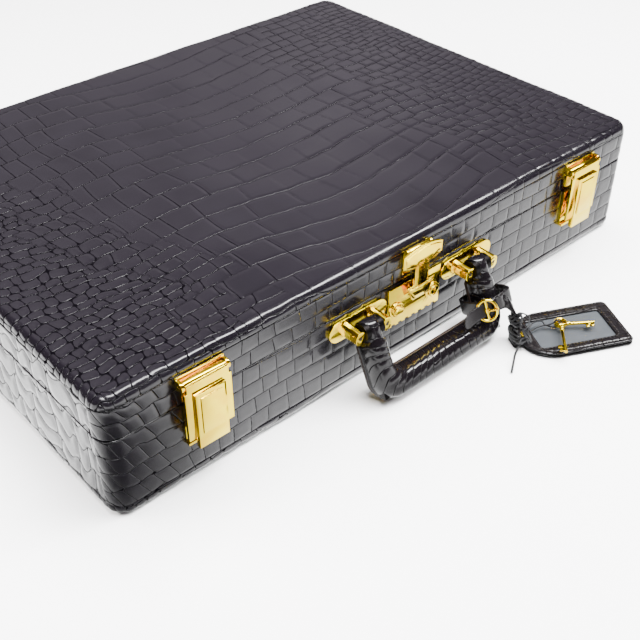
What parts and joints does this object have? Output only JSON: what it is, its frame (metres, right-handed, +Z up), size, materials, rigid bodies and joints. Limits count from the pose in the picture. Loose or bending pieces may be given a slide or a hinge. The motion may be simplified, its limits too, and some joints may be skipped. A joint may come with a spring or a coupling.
{
  "type": "poker chip case",
  "caption": "Rigid reptile-grain leather attache case with gilt latches, hasp, padded handle and tag, fitted inside with chip racks.",
  "frame": {"origin": "centre of the bottom face of the case", "axes": "+X to the right along the front, +Z up, the front with the handle faces -Y"},
  "size_m": [0.45, 0.4336, 0.087],
  "materials": {
    "case_leather": "glossy, embossed with reptile scales",
    "board": "plain plywood, hidden",
    "velvet": "short pile velvet",
    "lip_leather": "smooth, matt",
    "chip_white": "satin composite",
    "chip_red": "satin composite",
    "chip_green": "satin composite",
    "chip_black": "satin composite",
    "card_box": "coated board",
    "ivory_plastic": "polished",
    "gilt_brass": "polished gilt",
    "steel": "satin",
    "slider_plastic": "satin",
    "dark_screw": "dark",
    "handle_leather": "semi-gloss, embossed scales",
    "clear_film": "clear plastic film",
    "card": "plain grey card",
    "cord": "waxed cord"
  },
  "bodies": {
    "base": {"base_frame": "board", "base_bottom_board": "board", "base_bottom_cover": "case_leather", "base_side_cover": "case_leather", "base_lining": "velvet", "base_lip": "lip_leather", "rack_left": "velvet", "rack_right": "velvet", "centre_tray": "velvet", "chips_white": "chip_white", "chips_red": "chip_red", "chips_green": "chip_green", "chips_black": "chip_black", "card_decks": "card_box", "dealer_button": "ivory_plastic", "dice": "ivory_plastic", "hinge_base_leaves": "gilt_brass", "hinge_pins": "gilt_brass", "rear_studs": "gilt_brass", "stay_tracks": "steel", "latch_catches": "gilt_brass", "lock_plate": "gilt_brass", "lock_body": "steel", "handle_mounts": "gilt_brass", "handle_pins": "gilt_brass", "handle_screws": "dark_screw"},
    "lid": {"lid_frame": "board", "lid_top_board": "board", "lid_top_cover": "case_leather", "lid_side_cover": "case_leather", "lid_lining": "velvet", "lid_pad": "velvet", "hinge_lid_leaves": "gilt_brass", "stay_anchors": "steel", "latch_brackets": "gilt_brass", "latch_pins": "gilt_brass", "hasp_bracket": "gilt_brass", "hasp_pin": "gilt_brass"},
    "latch_left": {"latch_leaf_left": "gilt_brass"},
    "latch_right": {"latch_leaf_right": "gilt_brass"},
    "hasp": {"hasp": "gilt_brass"},
    "lock_button": {"lock_button": "gilt_brass"},
    "lock_cylinder": {"lock_cylinder": "gilt_brass"},
    "handle": {"handle_core": "steel", "handle_leather": "handle_leather"},
    "tag": {"tag_strap": "handle_leather", "tag_buckle": "gilt_brass", "tag_back": "handle_leather", "tag_front": "handle_leather", "tag_film": "clear_film", "tag_card": "card", "tag_rivet": "gilt_brass", "key_cord": "cord"},
    "prong": {"tag_prong": "gilt_brass"},
    "key_a": {"key_a": "gilt_brass"},
    "key_b": {"key_b": "gilt_brass"},
    "stay_slider": {"stay_sliders": "slider_plastic"},
    "stay_arm": {"stay_arms": "steel"}
  },
  "joints": [
    {"name": "lid_hinge", "type": "hinge", "parent": "base", "child": "lid", "pos_m": [0, 0.168, 0.0587], "axis": [-1, 0, 0], "range_deg": [0, 95]},
    {"name": "stay_slide", "type": "slide", "parent": "base", "child": "stay_slider", "axis": [0, 1, 0], "range_m": [0, 0.1525]},
    {"name": "stay_fold", "type": "hinge", "parent": "lid", "child": "stay_arm", "pos_m": [0, 0.088, 0.0707], "axis": [-1, 0, 0], "range_deg": [-141.2, 0]},
    {"name": "latch_left_flip", "type": "hinge", "parent": "lid", "child": "latch_left", "pos_m": [-0.164, -0.1692, 0.0753], "axis": [-1, 0, 0], "range_deg": [0, 110]},
    {"name": "latch_right_flip", "type": "hinge", "parent": "lid", "child": "latch_right", "pos_m": [0.164, -0.1692, 0.0753], "axis": [-1, 0, 0], "range_deg": [0, 110]},
    {"name": "hasp_flip", "type": "hinge", "parent": "lid", "child": "hasp", "pos_m": [0, -0.168, 0.081], "axis": [-1, 0, 0], "range_deg": [0, 90]},
    {"name": "button_press", "type": "slide", "parent": "base", "child": "lock_button", "axis": [0, 1, 0], "range_m": [0, 0.002]},
    {"name": "cylinder_turn", "type": "hinge", "parent": "base", "child": "lock_cylinder", "pos_m": [0.016, -0.165, 0.0405], "axis": [0, 1, 0], "range_deg": [0, 90]},
    {"name": "handle_swing", "type": "hinge", "parent": "base", "child": "handle", "pos_m": [0, -0.1765, 0.0485], "axis": [-1, 0, 0], "range_deg": [0, 125]},
    {"name": "tag_swing", "type": "hinge", "parent": "handle", "child": "tag", "pos_m": [0.0485, -0.1765, 0.0485], "axis": [0, -0.4067, -0.9135], "range_deg": [0, 18]},
    {"name": "prong_flip", "type": "hinge", "parent": "tag", "child": "prong", "pos_m": [0.03499, -0.1988, 0.03161], "axis": [0, -0.4067, -0.9135], "range_deg": [0, 70]},
    {"name": "key_a_turn", "type": "hinge", "parent": "tag", "child": "key_a", "pos_m": [0.086, -0.222, 0.007], "axis": [0, 0, 1], "range_deg": [-30, 30]},
    {"name": "key_b_turn", "type": "hinge", "parent": "tag", "child": "key_b", "pos_m": [0.086, -0.222, 0.008], "axis": [0, 0, 1], "range_deg": [-30, 30]}
  ],
  "couplings": [
    {"joint": "stay_slide", "follows": "lid_hinge", "m_per_rad": 0.09181},
    {"joint": "stay_fold", "follows": "lid_hinge", "ratio": -1.4805}
  ]
}
